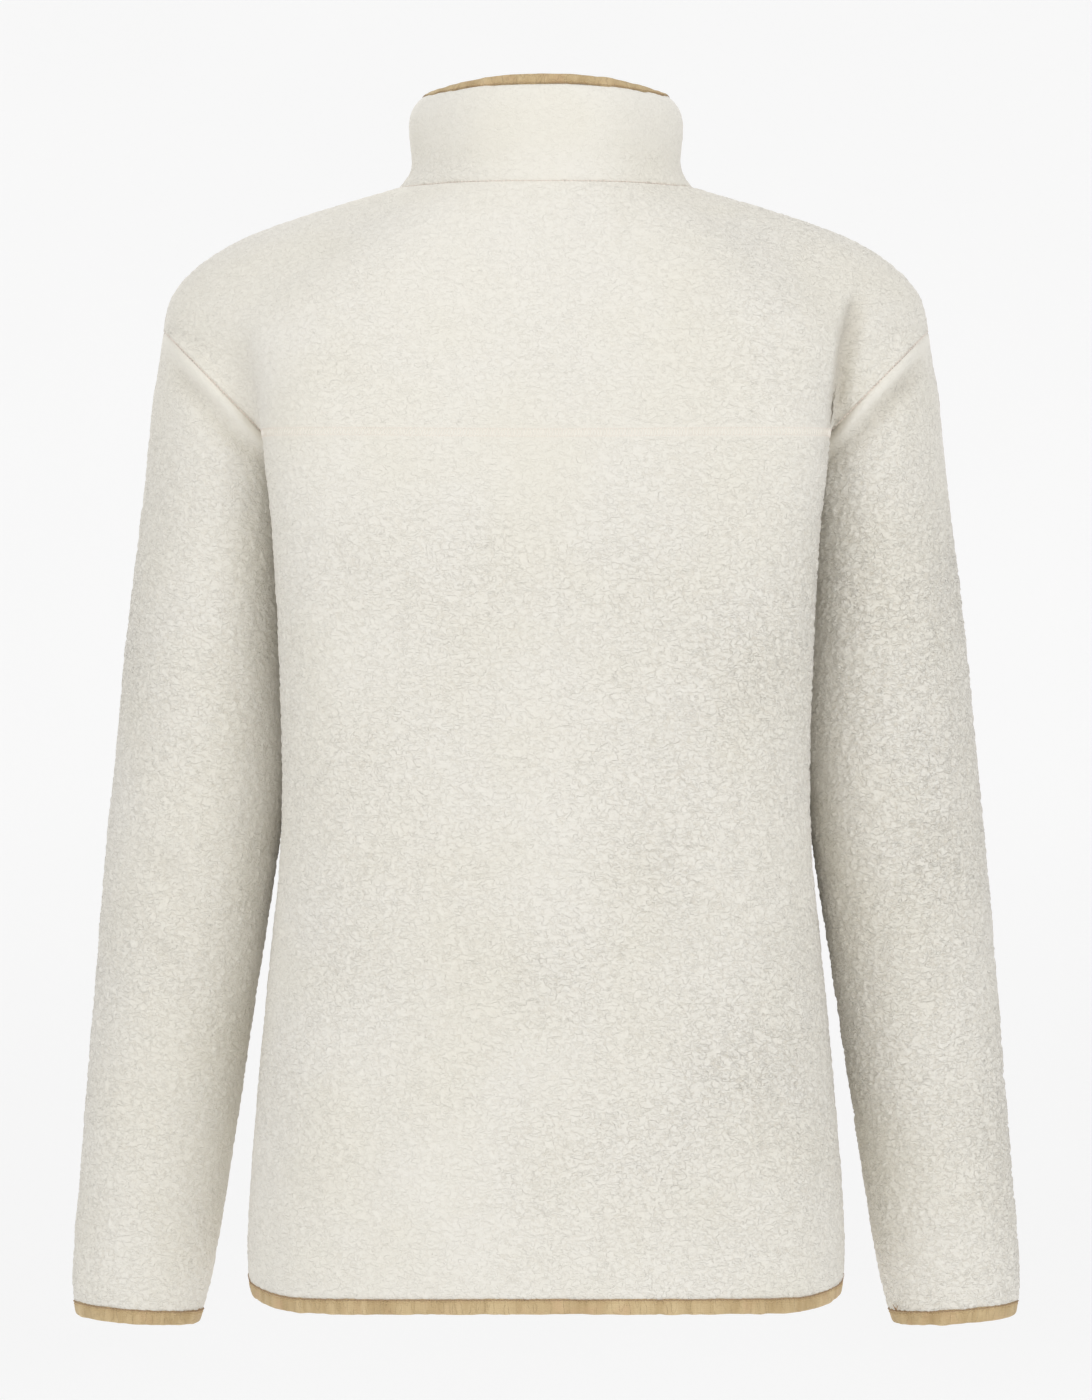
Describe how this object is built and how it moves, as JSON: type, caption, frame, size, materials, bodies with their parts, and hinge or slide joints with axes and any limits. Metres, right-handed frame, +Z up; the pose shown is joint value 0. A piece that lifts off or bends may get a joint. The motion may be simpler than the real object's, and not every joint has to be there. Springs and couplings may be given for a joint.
{
  "type": "sherpa fleece jacket",
  "caption": "Worn-form pile fleece jacket with a stand collar, yoked back, drop shoulders, front zip and tape-bound collar, cuffs and hem, hollow inside.",
  "frame": {"origin": "middle of the neck, level with the two side points of the neck seam, where the wearer's neck and shoulders hold the jacket", "axes": "+Z up, -Y the front with the zip, +Y the back with the yoke seam, +X the wearer's left"},
  "size_m": [0.5946, 0.2446, 0.7727],
  "materials": {
    "sherpa_fleece": "cream high-pile sherpa fleece, matt, fine uneven crumbs",
    "binding_tape": "tan knitted elastic binding, matt, lightly puckered",
    "zip_tape": "woven tape, matt",
    "zip_teeth": "moulded coil, satin",
    "zip_hardware": "satin nickel-coloured coating"
  },
  "bodies": {
    "jacket": {"back_yoke": "sherpa_fleece", "back_panel": "sherpa_fleece", "front_left": "sherpa_fleece", "front_right": "sherpa_fleece", "sleeve_left": "sherpa_fleece", "sleeve_right": "sherpa_fleece", "collar": "sherpa_fleece", "collar_binding": "binding_tape", "hem_binding": "binding_tape", "cuff_binding_left": "binding_tape", "cuff_binding_right": "binding_tape", "zip_tape_left": "zip_tape", "zip_tape_right": "zip_tape", "zip_chain": "zip_teeth", "zip_bottom_box": "zip_hardware", "zip_slider": "zip_hardware"},
    "pull": {"zip_pull": "zip_hardware"}
  },
  "joints": [
    {"name": "pull_hinge", "type": "hinge", "parent": "jacket", "child": "pull", "pos_m": [0, -0.07283, 0.0112], "axis": [-1, 0, 0], "range_deg": [0, 170]}
  ]
}
